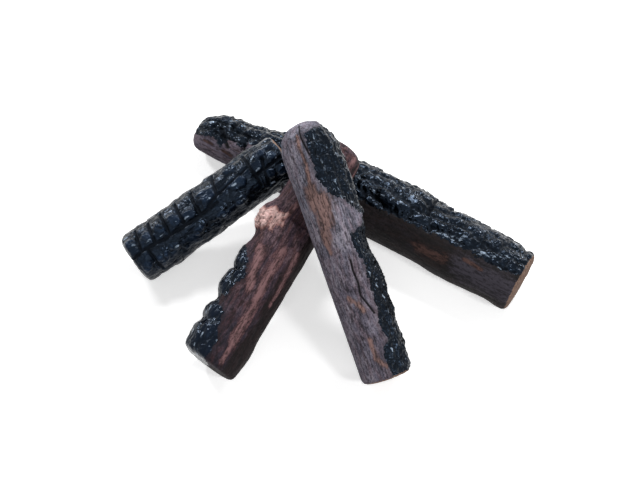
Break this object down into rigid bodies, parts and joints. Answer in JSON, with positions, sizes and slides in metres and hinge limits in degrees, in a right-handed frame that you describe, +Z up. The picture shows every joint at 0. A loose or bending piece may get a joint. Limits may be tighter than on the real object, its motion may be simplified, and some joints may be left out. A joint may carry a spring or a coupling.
{
  "type": "gas log set",
  "caption": "Stacked cast refractory logs for a gas fireplace: shorter charred and knotty logs lean on a long bark-covered back log, and each lifts off its locating pin.",
  "frame": {"origin": "on the hearth, under the middle of the back log", "axes": "+X along the back log from its slim end, -Y to the front of the hearth, +Z up"},
  "size_m": [0.4568, 0.334, 0.1999],
  "materials": {
    "charred_bark_refractory": "cast refractory cement, painted as glossy charred bark over brown wood",
    "charred_refractory": "cast refractory cement, painted as blocky charcoal with a satin to gloss coat",
    "stained_refractory": "cast refractory cement, stained dark brown with rust streaks, glossy black knots",
    "weathered_refractory": "cast refractory cement, painted as grey-brown weathered wood and black char",
    "rod_steel": "plain drawn bar, cast in",
    "pin_steel": "turned dowel with chamfered ends"
  },
  "bodies": {
    "back": {"back_log": "charred_bark_refractory", "back_log_rod_left": "rod_steel", "back_log_rod_right": "rod_steel", "left_log_pin": "pin_steel", "knotty_log_pin": "pin_steel"},
    "left": {"left_log": "charred_refractory", "left_log_rod_left": "rod_steel", "left_log_rod_right": "rod_steel"},
    "knotty": {"knotty_log": "stained_refractory", "knotty_log_rod_left": "rod_steel", "knotty_log_rod_right": "rod_steel", "centre_log_pin": "pin_steel"},
    "centre": {"centre_log": "weathered_refractory", "centre_log_rod_left": "rod_steel", "centre_log_rod_right": "rod_steel"}
  },
  "joints": [
    {"name": "left_log_lift", "type": "slide", "parent": "back", "child": "left", "axis": [0, -0.7071, 0.7071], "range_m": [0, 0.15]},
    {"name": "knotty_log_lift", "type": "slide", "parent": "back", "child": "knotty", "axis": [0, -0.267, 0.9637], "range_m": [0, 0.15]},
    {"name": "centre_log_lift", "type": "slide", "parent": "knotty", "child": "centre", "axis": [0.4879, -0.2299, 0.8421], "range_m": [0, 0.15]}
  ]
}
